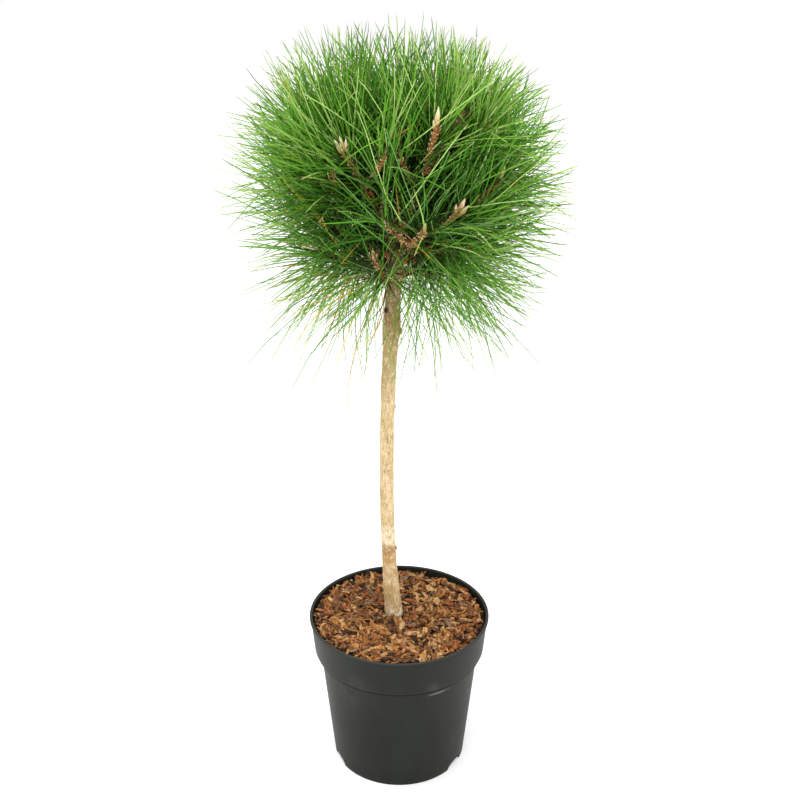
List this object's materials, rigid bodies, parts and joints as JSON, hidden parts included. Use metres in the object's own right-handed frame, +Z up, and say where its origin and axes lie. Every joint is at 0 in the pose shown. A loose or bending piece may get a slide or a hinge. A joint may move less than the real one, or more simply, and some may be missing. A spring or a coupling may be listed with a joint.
{
  "type": "potted dwarf pine",
  "caption": "Dwarf pine on a bare stem: a round head of long needles on short boughs, growing in bark mulch in a black nursery pot.",
  "frame": {"origin": "middle of the pot's underside, on the surface the pot stands on", "axes": "+Z up along the pot's axis, -Y towards the picture's viewer, +X to that viewer's right"},
  "size_m": [0.3197, 0.3237, 0.7625],
  "materials": {
    "black_plastic": "matte charcoal moulded plastic, lightly scuffed",
    "bark_chips": "loose chips of reddish brown, tan and dark brown pine bark",
    "trunk_bark": "smooth straw-coloured bark with olive streaks and small knots",
    "young_bark": "scaly reddish brown bark of young shoots, with pale buds",
    "pine_needles": "long fine needles, yellow-green outside and deep green within"
  },
  "bodies": {
    "root": {"pot": "black_plastic", "bark_mulch": "bark_chips", "trunk": "trunk_bark", "bough_top_front_left": "young_bark", "bough_top_front_right": "young_bark", "bough_top_right": "young_bark", "bough_top_back": "young_bark", "bough_top_left": "young_bark", "bough_middle_left": "young_bark", "bough_middle_front": "young_bark", "bough_middle_right": "young_bark", "bough_middle_back_right": "young_bark", "bough_middle_back_left": "young_bark", "bough_low_front": "young_bark", "bough_low_right": "young_bark", "bough_low_back_right": "young_bark", "bough_low_back": "young_bark", "bough_low_left": "young_bark", "needles_top_front_left": "pine_needles", "needles_top_front_right": "pine_needles", "needles_top_right": "pine_needles", "needles_top_back": "pine_needles", "needles_top_left": "pine_needles", "needles_middle_left": "pine_needles", "needles_middle_front": "pine_needles", "needles_middle_right": "pine_needles", "needles_middle_back_right": "pine_needles", "needles_middle_back_left": "pine_needles", "needles_low_front": "pine_needles", "needles_low_right": "pine_needles", "needles_low_back_right": "pine_needles", "needles_low_back": "pine_needles", "needles_low_left": "pine_needles"}
  },
  "joints": []
}
